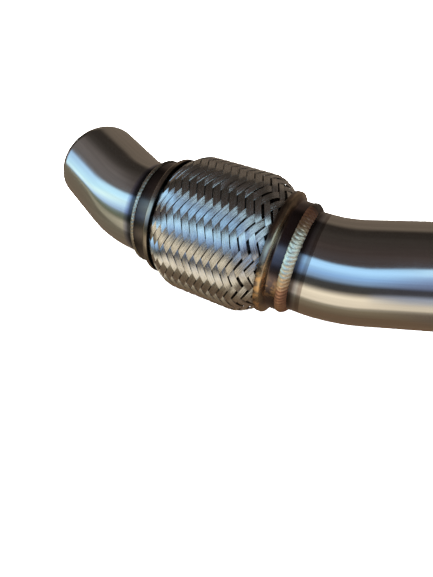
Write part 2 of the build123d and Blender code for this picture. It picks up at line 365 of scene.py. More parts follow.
@dataclass(frozen=True)
class SteelFinish:
    """Stainless steel: its grain, its dirt, the colours of heat beside a weld, and where set a painted
    shadow and gold specks brightened into a painted glint.
    """

    name: str
    tint: Stops
    roughness: float
    roughness_spread: float = 0.06
    roughness_grain: float = 0.05
    roughness_limits: Pair = (0.04, 0.9)
    blotch_scale: float = 55.0
    grain: Triple = (6.0, 900.0, 900.0)
    grain_depth: float = 0.05
    grain_height_mm: float = 0.1
    streaks: Triple = (10.0, 330.0, 330.0)
    streak_depth: float = 0.25
    streak_from: float = 0.35
    streak_contrast: float = 1.6
    heat: Heat = Heat.NONE
    heat_from_mm: float = 0.0
    heat_reach_mm: float = 10.0
    heat_patches: float = 0.0
    heat_at_rest: float = 0.3
    patch_scale: float = 75.0
    patch_stretch: Triple = (0.6, 1.0, 1.0)
    soot: float = 0.0
    soot_scale: float = 700.0
    soot_specks: Pair = (0.55, 0.75)
    soot_tint: Colour = (0.10, 0.08, 0.06)
    # painted shadow: past this distance from the weld the steel turns to the shadow colour (the inlet
    # collar's lip edge beside the braid)
    painted_shadow_beyond_mm: float = 0.0
    painted_shadow_edge_mm: float = 0.5
    # gold spatter specks on one side of the collar, partly real heat colour and partly a painted glint
    gilt_glint_turn: float = 0.0
    gilt_glint_from_mm: float = 33.4
    gilt_glint_full_mm: float = 36.6
    gilt_glint_scale: float = 240.0
    gilt_glint_specks: Pair = (0.40, 0.66)
    gilt_glint_share: float = 0.6
    gilt_glint_roughness: float = 0.25
    gilt_glint_tint: Colour = (1.0, 0.60, 0.27)

    def material(self) -> bpy.types.Material:
        """The finish as a new material."""
        return surface_material(self.name, self._surface)

    def _surface(self, graph: Graph) -> Inputs:
        """The shader's inputs.

        Args:
            graph: the material's nodes.

        Returns:
            Values and signals by the name of the input.
        """
        place = graph.attribute("unbent")["Vector"]
        blotches = graph.noise(place, self.blotch_scale)
        fine = graph.noise(graph.stretch(place, self.grain), 1.0, 2.0)
        colour = self._colour(graph, place, blotches)
        roughness = self.roughness + self.roughness_spread * (2 * blotches - 1)
        roughness = roughness + self.roughness_grain * (fine - 0.5)
        # gold specks: heat-coloured spatter that is also a painted glint, with a bright tint and extra
        # roughness
        if self.gilt_glint_turn:
            gilt_glint = self._gilt_glint_specks(graph, place)
            colour = graph.blend(gilt_glint, colour, self.gilt_glint_tint)
            roughness = roughness + self.gilt_glint_roughness * gilt_glint
        bump = {"Strength": self.grain_depth, "Distance": self.grain_height_mm * MM, "Height": fine}
        return {
            "Base Color": colour,
            "Metallic": 1.0,
            "Roughness": roughness.limit(*self.roughness_limits),
            "Normal": graph.add("ShaderNodeBump", None, bump)[0],
        }

    def _gilt_glint_specks(self, graph: Graph, place: Signal) -> Signal:
        """Where straw and gold specks lie, to one side of the weld: heat-coloured spatter, made bright
        and rough enough to act as a painted glint as well.

        Args:
            graph: the material's nodes.
            place: the unbent place on the piece.

        Returns:
            Most on a speck and 0 off it.
        """
        turn = math.radians(self.gilt_glint_turn)
        _, side, up = graph.split(place)
        facing = (side * math.sin(turn) + up * math.cos(turn)) * (1 / MM)
        specks = graph.noise(place, self.gilt_glint_scale, 2.0).ease(*self.gilt_glint_specks)
        return self.gilt_glint_share * facing.ease(self.gilt_glint_from_mm, self.gilt_glint_full_mm) * specks

    def _from_weld(self, graph: Graph, place: Signal) -> Signal:
        """How far along the axis a place is from the weld at the end face, in millimetres."""
        return abs(graph.split(place)[0]) * (1 / MM)

    def _colour(self, graph: Graph, place: Signal, blotches: Signal) -> Signal:
        """The steel's colour with its heat tint, its soot and, where set, painted shadow beyond a
        distance from the weld.

        Args:
            graph: the material's nodes.
            place: the unbent place on the piece.
            blotches: slow noise.

        Returns:
            The colour.
        """
        if self.heat is Heat.NONE:
            heat = self.heat_at_rest * blotches
        else:
            patches = graph.noise(graph.stretch(place, self.patch_stretch), self.patch_scale, 2.0)
            if self.heat is Heat.ON_BEAD:
                heat = graph.attribute("weld_heat")["Fac"]
            else:
                past = self._from_weld(graph, place) - self.heat_from_mm
                heat = 1 - past * (1 / (self.heat_reach_mm - self.heat_from_mm))
            heat = (heat + self.heat_patches * (2 * patches - 1)).limit()
        tint = graph.ramp(heat, self.tint)
        streaks = graph.noise(graph.stretch(place, self.streaks), 1.0)
        tone = graph.blend((self.streak_contrast * (streaks - self.streak_from)).limit(), tint, BLACK)
        tone = graph.blend(1 - self.streak_depth, tone, tint)
        # painted shadow: blends the steel to the shadow colour beyond painted_shadow_beyond_mm from the
        # weld
        if self.painted_shadow_beyond_mm:
            edge = (self.painted_shadow_beyond_mm, self.painted_shadow_beyond_mm + self.painted_shadow_edge_mm)
            tone = graph.blend(self._from_weld(graph, place).ease(*edge), tone, SHADOW)
        if self.soot:
            specks = graph.noise(place, self.soot_scale, 4.0).ease(*self.soot_specks)
            tone = graph.blend(specks * self.soot, tone, self.soot_tint)
        return tone


@dataclass(frozen=True)
class WireFinish:
    """Bright drawn wire whose strands differ a little in tone."""

    name: str
    base: Colour
    roughness: float
    tone_spread: float
    roughness_spread: float = 0.1
    dirt_scale: float = 90.0
    dirt_from: Pair = (0.4, 0.75)
    dirt_share: float = 0.35
    dirt_tint: Colour = (0.36, 0.30, 0.23)

    def material(self) -> bpy.types.Material:
        """The finish as a new material."""
        return surface_material(self.name, self._surface)

    def _surface(self, graph: Graph) -> Inputs:
        """The shader's inputs.

        Args:
            graph: the material's nodes.

        Returns:
            Values and signals by the name of the input.
        """
        place = graph.add("ShaderNodeTexCoord")["Object"]
        strand = graph.attribute("strand")["Fac"]
        dirt = graph.noise(place, self.dirt_scale).ease(*self.dirt_from)
        dull = tuple(part * (1 - self.tone_spread) for part in self.base)
        tone = graph.blend(strand, dull, self.base)
        colour = graph.blend(self.dirt_share * dirt, tone, self.dirt_tint)
        return {
            "Base Color": graph.blend(graph.attribute("shade")["Fac"], colour, SHADOW),
            "Metallic": 1.0,
            "Roughness": self.roughness + self.roughness_spread * strand + self.roughness_spread * dirt,
        }


@dataclass(frozen=True)
class FloorFinish:
    """A plain pale matt floor."""

    name: str = "pale_floor"
    base: Colour = (0.86, 0.86, 0.85)
    roughness: float = 0.9

    def material(self) -> bpy.types.Material:
        """The finish as a new material."""
        inputs = {"Base Color": (*self.base, 1.0), "Roughness": self.roughness}
        return surface_material(self.name, lambda graph: inputs)


def rounded(points: Outline, radius: float, steps: int) -> list[Pair]:
    """An open line whose inner corners are turned into arcs.

    Args:
        points: the line's corners.
        radius: the arcs' radius.
        steps: the number of chords in an arc.

    Returns:
        The rounded line.
    """
    longest_cut = 0.499
    result = [points[0]]
    for before, corner, after in zip(points, points[1:], points[2:]):
        here = Vector(corner)
        back = Vector(before) - here
        ahead = Vector(after) - here
        half = back.angle(ahead) / 2
        cut = min(radius / math.tan(half), longest_cut * min(back.length, ahead.length))
        arc_radius = cut * math.tan(half)
        start = here + back.normalized() * cut
        inwards = (back.normalized() + ahead.normalized()).normalized()
        centre = here + inwards * (arc_radius / math.sin(half))
        sweep = math.pi - 2 * half
        turn = math.copysign(1.0, back.x * ahead.y - back.y * ahead.x)
        for step in range(steps + 1):
            spoke = (start - centre).copy()
            spoke.rotate(Matrix.Rotation(-turn * sweep * step / steps, 2))
            result.append(tuple(centre + spoke))
    result.append(points[-1])
    return result


def thickened(line: Outline, thickness: float) -> list[Pair]:
    """The closed outline of a sheet that follows a line.

    Args:
        line: the sheet's middle line.
        thickness: the sheet's thickness.

    Returns:
        The outline, out along one side and back along the other.
    """
    sides: tuple[list[Pair], list[Pair]] = ([], [])
    for index, point in enumerate(line):
        before = Vector(line[max(index - 1, 0)])
        after = Vector(line[min(index + 1, len(line) - 1)])
        along = (after - before).normalized()
        across = Vector((-along.y, along.x)) * thickness / 2
        sides[0].append(tuple(Vector(point) + across))
        sides[1].append(tuple(Vector(point) - across))
    return sides[0] + sides[1][::-1]


def finished_object(
    name: str, mesh: bpy.types.Mesh, material: bpy.types.Material, sharp: float
) -> bpy.types.Object:
    """An object at the origin, smooth but for its sharp edges.

    Args:
        name: the piece's name.
        mesh: its mesh, in place.
        material: its material.
        sharp: edges that turn by more than this many degrees stay sharp.

    Returns:
        The object, linked to the scene.
    """
    mesh.materials.clear()
    mesh.materials.append(material)
    mesh.shade_smooth()
    mesh.set_sharp_from_angle(angle=math.radians(sharp))
    piece = bpy.data.objects.new(name, mesh)
    bpy.context.scene.collection.objects.link(piece)
    return piece


class Shell:
    """A closed mesh that grows ring by ring round the axis."""

    def __init__(self) -> None:
        """Starts with no rings."""
        self.places: list[Vector] = []
        self.unbent: list[Vector] = []
        self.faces: list[tuple[int, ...]] = []

    def add_ring(self, outline: Outline, placer: Placer, turn: float) -> None:
        """Adds the points of an outline at an angle round the axis.

        Args:
            outline: pairs of a distance along the axis and a radius, in millimetres.
            placer: gives each point's place.
            turn: the angle from straight up.
        """
        for along, radius in outline:
            self.places.append(placer(along, radius, turn))
            self.unbent.append(Vector((along, radius * math.sin(turn), radius * math.cos(turn))) * MM)

    def join_rings(self, first: int, rings: int, count: int, closed: bool = True) -> None:
        """Adds the faces between rings that follow each other.

        Args:
            first: the number of the first ring's first point.
            rings: how many rings there are.
            count: the number of points in a ring.
            closed: whether the last ring joins the first one.
        """
        for ring in range(rings if closed else rings - 1):
            here = first + ring * count
            ahead = first + (ring + 1) % rings * count
            for index in range(count):
                other = (index + 1) % count
                self.faces.append((here + index, here + other, ahead + other, ahead + index))

    def mesh(self, name: str) -> bpy.types.Mesh:
        """The shell as a mesh that faces outwards and knows its unbent places."""
        mesh = bpy.data.meshes.new(name)
        mesh.from_pydata(self.places, [], self.faces)
        shell = bmesh.new()
        shell.from_mesh(mesh)
        bmesh.ops.recalc_face_normals(shell, faces=shell.faces)
        shell.to_mesh(mesh)
        shell.free()
        store = mesh.attributes.new("unbent", "FLOAT_VECTOR", "POINT")
        store.data.foreach_set("vector", [part for place in self.unbent for part in place])
        return mesh


@dataclass(frozen=True)
class TurnedPiece:
    """A closed outline turned about an axis that may be bent."""

    name: str
    outline: Outline | Callable[[float], Outline]
    placer: Placer
    segments: int
    sharp: float
    heat: Callable[[float], float] | None = None

    def build(self, material: bpy.types.Material) -> bpy.types.Object:
        """Makes the piece.

        Args:
            material: its material.

        Returns:
            The finished object.
        """
        shell = Shell()
        heats: list[float] = []
        for segment in range(self.segments):
            turn = FULL_TURN * segment / self.segments
            outline = self.outline(turn) if callable(self.outline) else self.outline
            shell.add_ring(outline, self.placer, turn)
            heats += [self.heat(turn) if self.heat else 0.0] * len(outline)
        shell.join_rings(0, self.segments, len(shell.places) // self.segments)
        mesh = shell.mesh(self.name)
        if self.heat:
            mesh.attributes.new("weld_heat", "FLOAT", "POINT").data.foreach_set("value", heats)
        return finished_object(self.name, mesh, material, self.sharp)


class PatternTree(Graph):
    """A Geometry Nodes tree with named inputs that makes one mesh."""

    def __init__(self, name: str) -> None:
        """Makes an empty tree.

        Args:
            name: the tree's name.
        """
        super().__init__(bpy.data.node_groups.new(name, "GeometryNodeTree"))
        self.values: dict[str, Any] = {}
        self._socket("Geometry", "OUTPUT", "NodeSocketGeometry")
        self.entry = self.tree.nodes.new("NodeGroupInput")

    def size(self, name: str, value: float) -> Signal:
        """A named size of the pattern.

        Args:
            name: the input's name.
            value: its value.

        Returns:
            The input as a signal.
        """
        self.values[self._socket(name, "INPUT", "NodeSocketFloat")] = float(value)
        return Signal(self, self.entry.outputs[name])

    def _socket(self, name: str, way: str, kind: str) -> str:
        """Gives the tree a socket and returns the socket's identifier."""
        return self.tree.interface.new_socket(name=name, in_out=way, socket_type=kind).identifier

    def store(self, geometry: Signal, domain: str, name: str, value: Signal) -> Signal:
        """Stores a number on the geometry.

        Args:
            geometry: what the tree has made so far.
            domain: what the number is stored on.
            name: the attribute's name.
            value: the number.

        Returns:
            The geometry with its attribute.
        """
        settings = {"data_type": "FLOAT", "domain": domain}
        inputs = {"Geometry": geometry, "Name": name, "Value": value}
        return self.add("GeometryNodeStoreNamedAttribute", settings, inputs)[0]

    def mesh(self, geometry: Signal, material: bpy.types.Material) -> bpy.types.Mesh:
        """Ends the tree and turns its result into a plain mesh.

        Args:
            geometry: what the tree made.
            material: the material of all of it.

        Returns:
            The mesh.
        """
        real = self.add("GeometryNodeRealizeInstances", None, {0: geometry})[0]
        dressed = self.add("GeometryNodeSetMaterial", None, {"Geometry": real, "Material": material})[0]
        self.add("NodeGroupOutput", None, {0: dressed})
        carrier = bpy.data.objects.new(self.tree.name, bpy.data.meshes.new(self.tree.name))
        bpy.context.scene.collection.objects.link(carrier)
        modifier = carrier.modifiers.new(self.tree.name, "NODES")
        modifier.node_group = self.tree
        for identifier, value in self.values.items():
            modifier[identifier] = value
        depsgraph = bpy.context.evaluated_depsgraph_get()
        mesh = bpy.data.meshes.new_from_object(
            carrier.evaluated_get(depsgraph), preserve_all_data_layers=True, depsgraph=depsgraph
        )
        bpy.data.objects.remove(carrier)
        bpy.data.node_groups.remove(self.tree)
        return mesh


class End(Enum):
    """An end of the coupling, with the sign of its direction along X."""

    INLET = -1
    OUTLET = 1

    @property
    def body(self) -> str:
        """The CAD body of this end."""
        return f"{self.name.lower()}_side"

    def node(self, piece: str) -> str:
        """The name of this end's CAD node of that kind."""
        return f"{self.name.lower()}_{piece}"


@dataclass(frozen=True)
class Coupling:
    """The coupling's axis and the sizes that all its pieces share, in millimetres."""

    middle: Vector
    half_length: float = 50.8
    tube_radius: float = 31.75
    collar_inner: float = 33.7
    collar_sheet: float = 1.2
    lip_inner: float = 38.3
    collar_depth: float = 14.4

    def place(self, along: float, radius: float, turn: float) -> Vector:
        """A place round the axis.

        Args:
            along: the distance from the coupling's middle towards the outlet, in millimetres.
            radius: the distance from the axis, in millimetres.
            turn: the angle from straight up, right-handed about the flow.

        Returns:
            The place in metres.
        """
        return self.middle + Vector((along, -radius * math.sin(turn), radius * math.cos(turn))) * MM

    def from_end(self, end: End) -> Placer:
        """A placer whose along is measured from an end's face: inwards below 0 and outwards above it."""

        def placer(along: float, radius: float, turn: float) -> Vector:
            return self.place(end.value * (self.half_length + along), radius, turn)

        return placer


@dataclass(frozen=True)
class BentTube:
    """A tube with one bend, cut square at its open end."""

    coupling: Coupling
    end: End
    lead: float
    bend_radius: float
    bend_angle: float
    run: float
    twist: float
    lying_roll: float = 22.4
    wall: float = 1.65
    insertion: float = 6.0
    deburr: float = 0.4
    rim_corner: float = 0.12
    step: float = 3.0
    spare_steps: float = 1.5
    segments: int = 144

    def place(self, along: float, radius: float, turn: float) -> Vector:
        """A place on the tube, given as if it were straight.

        Args:
            along: the distance from the coupling's face, in millimetres.
            radius: the distance from the tube's centre line, in millimetres.
            turn: the angle from straight up, right-handed about the flow.

        Returns:
            The place in metres.
        """
        lean = math.radians(self.twist - self.lying_roll)
        ahead = Vector((self.end.value, 0, 0))
        side = Vector((0, math.cos(lean), math.sin(lean)))
        full = math.radians(self.bend_angle)
        bent = min(max(along - self.lead, 0) / self.bend_radius, full)
        past = max(along - self.lead - self.bend_radius * full, 0)
        before = min(along, self.lead)
        tangent = ahead * math.cos(bent) + side * math.sin(bent)
        centre = ahead * (self.coupling.half_length + before + self.bend_radius * math.sin(bent))
        centre += side * self.bend_radius * (1 - math.cos(bent)) + tangent * past
        spoke = Vector((0, -math.sin(turn), math.cos(turn)))
        spoke.rotate(ahead.rotation_difference(tangent))
        return self.coupling.middle + (centre + spoke * radius) * MM

    def outline(self) -> list[Pair]:
        """The wall's outline along the unbent tube."""
        outer = self.coupling.tube_radius
        inner = outer - self.wall
        full = self.lead + self.bend_radius * math.radians(self.bend_angle) + self.run
        end = full - self.deburr
        stations = [-self.insertion]
        while stations[-1] + self.spare_steps * self.step < end:
            stations.append(stations[-1] + self.step)
        outside = [(station, outer) for station in stations]
        corner = full - self.rim_corner
        rim = [(end, outer), (corner, outer - self.rim_corner), (full, outer - self.deburr)]
        rim += [(full, inner + self.deburr), (corner, inner + self.rim_corner), (end, inner)]
        inside = [(station, inner) for station in reversed(stations)]
        return outside + rim + inside

    def build(self, finish: SteelFinish) -> bpy.types.Object:
        """Makes the tube and lets it stand for its CAD node.

        Args:
            finish: the tube's finish.

        Returns:
            The finished object.
        """
        name = self.end.node("tube")
        tube = TurnedPiece(name, self.outline(), self.place, self.segments, sharp=30.0)
        piece = tube.build(finish.material())
        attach(piece, self.end.body)
        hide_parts(self.end.node("pipe"))
        return piece


@dataclass(frozen=True)
class WeldBead:
    """A fillet bead laid as a row of overlapping ripples round the tube."""

    coupling: Coupling
    end: End
    ripples: int
    toe: float
    heel: float
    crown: float
    ripple_height: float
    crescent: float
    seed: int
    heat_stops: tuple[Pair, ...]
    height_spread: Pair = (0.75, 1.2)
    shift_spread: Pair = (-0.12, 0.12)
    toe_scallop: float = 0.25
    heel_scallop: float = 0.2
    sink: float = 0.03
    corner_past: float = 0.9
    overhang: float = 0.45
    steepness: float = 0.9
    root_depth: float = 0.4
    lump_power: float = 0.75
    swell_power: float = 0.8
    ripple_power: float = 0.4
    heat_ripple: float = 0.05
    heat_drift: float = 0.04
    drift_waves: int = 7
    knob_height: float = 0.0
    knob_turn: float = math.radians(308.0)
    knob_width: float = 0.09
    across: int = 14
    per_ripple: int = 12

    def heat_at(self, turn: float) -> float:
        """How far the bead is heat tinted at an angle round the tube.

        Args:
            turn: the angle from straight up.

        Returns:
            A place on the scale of heat colours.
        """
        degrees = math.degrees(turn) % 360
        stops = self.heat_stops + ((self.heat_stops[0][0] + 360, self.heat_stops[0][1]),)
        for (start, low), (stop, high) in zip(stops, stops[1:]):
            if start <= degrees <= stop:
                share = (degrees - start) / (stop - start)
                share = share * share * (3 - 2 * share)
                ripple = self.heat_ripple * math.sin(self.ripples * turn)
                ripple += self.heat_drift * math.sin(self.drift_waves * turn + self.seed)
                return min(max(low + (high - low) * share + ripple, 0.0), 1.0)
        return stops[0][1]

    def build(self, finish: SteelFinish) -> bpy.types.Object:
        """Makes the bead and lets it stand for its CAD node.

        Args:
            finish: the bead's finish.

        Returns:
            The finished object.
        """
        dice = random.Random(self.seed)
        heights = [dice.uniform(*self.height_spread) for _ in range(self.ripples)]
        shifts = [dice.uniform(*self.shift_spread) for _ in range(self.ripples)]
        inner = self.coupling.tube_radius - self.sink
        outer = self.coupling.collar_inner + self.coupling.collar_sheet

        def outline(turn: float) -> list[Pair]:
            travel = self.ripples * turn / FULL_TURN
            whole = int(travel) % self.ripples
            scallop = abs(math.sin(math.pi * travel))
            start = (self.toe + self.toe_scallop * scallop + shifts[whole] * scallop, inner)
            stop = (-self.heel - self.heel_scallop * scallop, outer - self.sink)
            corner = (start[0] + self.corner_past) / (start[0] - stop[0])
            knob = self.knob_height * math.exp(-(((turn - self.knob_turn) / self.knob_width) ** 2))
            top = []
            for index in range(self.across + 1):
                share = index / self.across
                swell = 4 * share * (1 - share)
                phase = travel + self.crescent * swell
                height = heights[int(phase) % self.ripples]
                lump = abs(math.sin(math.pi * phase)) ** self.lump_power * height
                rise = (self.crown + knob) * swell**self.swell_power
                rise += self.ripple_height * lump * swell**self.ripple_power
                climb = math.sin(math.pi / 2 * min(share / corner, 1.0))
                along = start[0] + (stop[0] - start[0]) * share + self.overhang * rise * (1 - share)
                top.append((along, start[1] + (stop[1] - start[1]) * climb + self.steepness * rise))
            return top + [(-self.root_depth, self.coupling.collar_inner), (0.0, inner)]

        bead = TurnedPiece(
            self.end.node("bead"),
            outline,
            self.coupling.from_end(self.end),
            segments=self.ripples * self.per_ripple,
            sharp=75.0,
            heat=self.heat_at,
        )
        piece = bead.build(finish.material())
        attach(piece, self.end.body)
        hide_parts(self.end.node("weld"))
        return piece


@dataclass(frozen=True)
class Collar:
    """A pressed collar with a flared lip, and the crushed end of the braid that it holds."""

    coupling: Coupling
    end: End
    neck: float = 9.0
    flare: float = 2.0
    fold: float = 1.2
    chamfer: float = 1.0
    fold_steps: int = 6
    lip_steps: int = 8
    segments: int = 192
    crimp_segments: int = 128
    crimp_inner: float = 32.75
    crimp_bends: Pair = (9.2, 9.4)
    crimp_lands: Pair = (11.3, 11.15)
    crimp_tips: Pair = (36.2, 37.6)
    crimp_depth: float = 11.8

    def build(self, finish: SteelFinish, crimp_finish: SteelFinish) -> list[bpy.types.Object]:
        """Makes the collar and the crimp and lets them stand for their CAD nodes.

        Args:
            finish: the collar's finish.
            crimp_finish: the crimp's finish.

        Returns:
            The two objects.
        """
        sheet = self.coupling.collar_sheet
        neck_line = self.coupling.collar_inner + sheet / 2
        lip_line = self.coupling.lip_inner + sheet / 2
        foot = self.neck + self.flare
        depth = -self.coupling.collar_depth + sheet / 2
        bends = [
            (-self.chamfer, neck_line),
            (-self.neck, neck_line),
            (-foot, lip_line),
            (depth, lip_line),
        ]
        line = rounded(bends, self.fold, self.fold_steps)
        outline = thickened(line, sheet)
        half = len(line)
        angles = [math.pi * step / self.lip_steps for step in range(1, self.lip_steps)]
        lip = [
            (depth - sheet / 2 * math.sin(angle), lip_line - sheet / 2 * math.cos(angle))
            for angle in angles
        ]
        face = [(0.0, neck_line + sheet / 2 - self.chamfer), (0.0, neck_line - sheet / 2)]
        outline = outline[:half] + lip + outline[half:] + face[::-1]
        placer = self.coupling.from_end(self.end)
        collar = TurnedPiece(self.end.node("ring"), outline, placer, self.segments, sharp=35.0)
        collar_piece = collar.build(finish.material())
        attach(collar_piece, self.end.body)
        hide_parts(self.end.node("collar"))

        outer = self.coupling.collar_inner
        band = [
            (0, self.crimp_inner),
            (0, outer),
            (-self.crimp_bends[1], outer),
            (-self.crimp_lands[1], self.crimp_tips[1]),
            (-self.crimp_depth, self.crimp_tips[1]),
            (-self.crimp_depth, self.crimp_tips[0]),
            (-self.crimp_lands[0], self.crimp_tips[0]),
            (-self.crimp_bends[0], self.crimp_inner),
        ]
        crimp = TurnedPiece(self.end.node("band"), band, placer, self.crimp_segments, sharp=20.0)
        crimp_piece = crimp.build(crimp_finish.material())
        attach(crimp_piece, self.end.body)
        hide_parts(self.end.node("crimp"))
        return [collar_piece, crimp_piece]


@dataclass(frozen=True)
class BraidShape:
    """The surface that the braid lies on: a cylinder that draws in towards each collar."""

    radius: float = 45.0
    end_radius: float = 37.2
    shoulder_start: float = 14.75
    shoulder_length: float = 16.25

    def radius_at(self, along: float, half_length: float) -> float:
        """The braid's middle radius at a distance along the coupling from its middle."""
        depth = half_length - abs(along)
        share = 1 - (depth - self.shoulder_start) / self.shoulder_length
        share = min(max(share, 0.0), 1.0)
        return self.end_radius + (self.radius - self.end_radius) * math.cos(share * math.pi / 2)


class Hand(Enum):
    """The way a family of ribbons turns as it advances along the flow."""

    LEFT = -1
    RIGHT = 1


@dataclass(frozen=True)
class Braid:
    """Flat ribbons of wire in two families, each over two ribbons of the other and then under two."""

    coupling: Coupling
    shape: BraidShape
    ribbons: int = 24
    wires: int = 12
    pitch: float = 5.15
    cover: float = 0.87
    lift: float = 0.30
    wire_radius: float = 0.188
    wire_flatness: float = 0.55
    wire_tilt: float = 27.0
    tilt_spread: float = 0.50
    wire_sides: int = 5
    phase: float = -4.75
    slide: float = -0.55
    sharpness: float = 2.2
    crossings: int = 15
    samples_per_crossing: int = 2
    end_depth: float = 11.9
    wander: float = 0.04
    loose_wander: float = 0.22
    stray: float = 0.08
    stray_height: float = 0.12
    drift_scales: Triple = (70.0, 3.7, 11.0)
    stray_scales: Triple = (150.0, 2.3, 5.0)
    groove: Pair = (34.0, 35.0)
    shade_from: Pair = (-0.04, -0.42)
    loose_from: Pair = (14.0, 32.0)
    thinning: float = 0.22
    seed: int = 5

    def build(self, hand: Hand, finish: WireFinish) -> bpy.types.Object:
        """Makes one family of ribbons and lets it stand for its CAD node.

        Args:
            hand: the way that it turns.
            finish: the wires' finish.

        Returns:
            The finished object.
        """
        tree = PatternTree(f"{hand.name.lower()}_hand_wires")
        sizes = {
            "Wires a ribbon": self.wires,
            "Crossing length": self.pitch / 2 * MM,
            "Cover": self.cover,
            "Lift": self.lift * MM,
            "Middle radius": self.shape.radius * MM,
            "End radius": self.shape.end_radius * MM,
            "Shoulder length": self.shape.shoulder_length * MM,
            "Phase": math.radians(self.phase),
            "Wire radius": self.wire_radius * MM,
        }
        size = {name: tree.size(name, value) for name, value in sizes.items()}
        samples = 2 * self.crossings * self.samples_per_crossing + 1
        strand = tree.add("GeometryNodeCurvePrimitiveLine")[0]
        strand = tree.add("GeometryNodeResampleCurve", None, {"Curve": strand, "Count": samples})[0]
        amount = {"Geometry": strand, "Amount": self.ribbons * self.wires}
        copies = tree.add("GeometryNodeDuplicateElements", {"domain": "SPLINE"}, amount)
        geometry, number = copies[0], copies[1]
        position = self._position(tree, size, number, hand)
        moved = {"Geometry": geometry, "Position": position}
        geometry = tree.add("GeometryNodeSetPosition", None, moved)[0]
        roll = {"ID": number, "Seed": self.seed + hand.value}
        dice = tree.add("FunctionNodeRandomValue", {"data_type": "FLOAT"}, roll)[1]
        geometry = tree.store(geometry, "CURVE", "strand", dice)
        here = tree.add("GeometryNodeInputPosition")[0]
        offset = tree.vector("SUBTRACT", here, tuple(self.coupling.middle))[0]
        groove = (tree.split(offset)[0] * (-1 / MM)).ease(*self.groove)
        under = self._lift(tree, number, size, hand).ease(*self.shade_from)
        geometry = tree.store(geometry, "POINT", "shade", groove.math("MAXIMUM", groove, under))
        radial = tree.vector("NORMALIZE", tree.stretch(offset, (0.0, 1.0, 1.0)))[0]
        tangent = tree.add("GeometryNodeInputTangent")[0]
        sideways = tree.vector("CROSS_PRODUCT", radial, tangent)[0]
        lean = hand.value * (math.tan(math.radians(self.wire_tilt)) + self.tilt_spread * (dice - 0.5))
        facing = tree.vector("MULTIPLY_ADD", sideways, tree.join(lean, lean, lean), radial)[0]
        normal = {"Curve": geometry, "Normal": tree.vector("NORMALIZE", facing)[0]}
        geometry = tree.add("GeometryNodeSetCurveNormal", {"mode": "FREE"}, normal)[0]
        circle = {"Resolution": self.wire_sides, "Radius": size["Wire radius"]}
        profile = tree.add("GeometryNodeCurvePrimitiveCircle", {"mode": "RADIUS"}, circle)[0]
        squash = {"Geometry": profile, "Scale": (self.wire_flatness, 1.0, 1.0)}
        profile = tree.add("GeometryNodeTransform", None, squash)[0]
        sweep = {"Curve": geometry, "Profile Curve": profile, "Fill Caps": True}
        wires = tree.add("GeometryNodeCurveToMesh", None, sweep)[0]
        material = finish.material()
        name = f"braid_{hand.name.lower()}"
        piece = finished_object(name, tree.mesh(wires, material), material, sharp=80.0)
        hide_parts(f"{name}_hand")
        return piece

    def _crossing(self, tree: PatternTree) -> Signal:
        """How many crossings each curve point is past the middle."""
        index = tree.add("GeometryNodeSplineParameter")["Index"]
        return index / self.samples_per_crossing - self.crossings

    def _lift(self, tree: PatternTree, number: Signal, size: dict[str, Signal], hand: Hand) -> Signal:
        """How far each point of each wire is over or under the other family, from 1 to -1.

        Args:
            tree: the tree to build in.
            number: the wire's number among all of its family.
            size: the named sizes.
            hand: the way that the family turns.

        Returns:
            The lift of every curve point.
        """
        ribbon = (number / size["Wires a ribbon"]).floor()
        count = self._crossing(tree)
        parity = 1 - 2 * (ribbon % 2)
        wave = ((count + hand.value / 2) * (math.pi / 2)).sin() * self.sharpness
        return -(wave.tanh()) * parity

    def _position(self, tree: PatternTree, size: dict[str, Signal], number: Signal, hand: Hand) -> Signal:
        """Where each point of each wire lies.

        Args:
            tree: the tree to build in.
            size: the named sizes.
            number: the wire's number among all of its family.
            hand: the way that the family turns.

        Returns:
            The position of every curve point.
        """
        step = FULL_TURN / self.ribbons
        ribbon = (number / size["Wires a ribbon"]).floor()
        wire = number - ribbon * size["Wires a ribbon"]
        count = self._crossing(tree)
        spread = (wire + 0.5) / size["Wires a ribbon"] - 0.5
        rough = (count * (self.pitch / 2) - hand.value * spread * self.pitch / 2).ease(*self.loose_from)
        across = spread * size["Cover"] * (1 - self.thinning * rough)
        reach = (self.coupling.half_length - self.end_depth) * MM
        along = (count - hand.value * across) * size["Crossing length"] + self.slide * MM
        along = along.limit(-reach, reach)
        lift = self._lift(tree, number, size, hand) * size["Lift"]

        start = (self.coupling.half_length - self.shape.shoulder_start) * MM
        share = (1 - (start - abs(along)) / size["Shoulder length"]).limit()
        swell = (share * (math.pi / 2)).cos() * (size["Middle radius"] - size["End radius"])
        drift, stray = (
            tree.noise(tree.join(along * rate, item * stride, hand.value * shift), 1.0, 1.0) - 0.5
            for item, (rate, stride, shift) in ((ribbon, self.drift_scales), (number, self.stray_scales))
        )
        loose = self.wander + self.loose_wander * along.ease(*(part * MM for part in self.loose_from))
        radius = size["End radius"] + swell + lift + stray * (self.stray_height * MM)
        turn = size["Phase"] + (ribbon + hand.value * count / 2 + across / 2) * step
        turn = turn + (drift * 2.0 * loose + stray * self.stray) * step
        middle = self.coupling.middle
        return tree.join(
            along + middle.x,
            middle.y - radius * turn.sin(),
            middle.z + radius * turn.cos(),
        )


